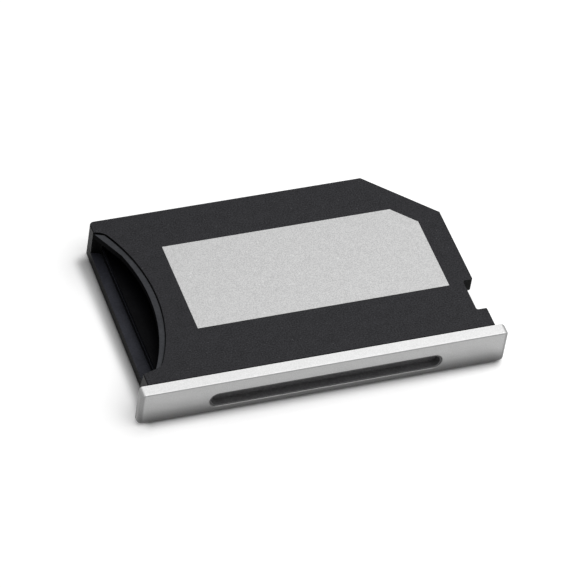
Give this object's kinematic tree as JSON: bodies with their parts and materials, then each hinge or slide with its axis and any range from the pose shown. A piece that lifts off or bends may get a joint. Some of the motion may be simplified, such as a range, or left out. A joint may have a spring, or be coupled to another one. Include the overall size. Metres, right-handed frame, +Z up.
{
  "type": "microsd storage adapter",
  "caption": "Flush passive adapter: SD-form case with a cut corner and lock notch, side slot for a microSD card, blank label plate and aluminium face rail with a finger slot.",
  "frame": {"origin": "under the middle of the adapter's box, on the surface that it lies on", "axes": "+X along the face rail, +Y from the rail to the SD contact end, +Z up through the label"},
  "size_m": [0.0262, 0.0162, 0.0029],
  "materials": {
    "shell_plastic": "fine moulded texture",
    "guide_plastic": "smooth moulded",
    "carrier_plastic": "smooth moulded",
    "label_metal": "blasted, blank",
    "rail_metal": "blasted and anodised",
    "insert_plastic": "satin moulded",
    "board_laminate": "solder mask",
    "contact_gold": "gold plated"
  },
  "bodies": {
    "root": {"top_cover": "shell_plastic", "bottom_tray": "shell_plastic", "card_guide": "guide_plastic", "contact_carrier": "carrier_plastic", "label": "label_metal", "face_rail": "rail_metal", "slot_insert": "insert_plastic", "circuit_board": "board_laminate", "contact_spring_1": "contact_gold", "contact_spring_2": "contact_gold", "contact_spring_3": "contact_gold", "contact_spring_4": "contact_gold", "contact_spring_5": "contact_gold", "contact_spring_6": "contact_gold", "contact_spring_7": "contact_gold", "contact_spring_8": "contact_gold", "sd_pad_1": "contact_gold", "sd_pad_2": "contact_gold", "sd_pad_3": "contact_gold", "sd_pad_4": "contact_gold", "sd_pad_5": "contact_gold", "sd_pad_6": "contact_gold", "sd_pad_7": "contact_gold", "sd_pad_8": "contact_gold", "sd_pad_9": "contact_gold"}
  },
  "joints": []
}
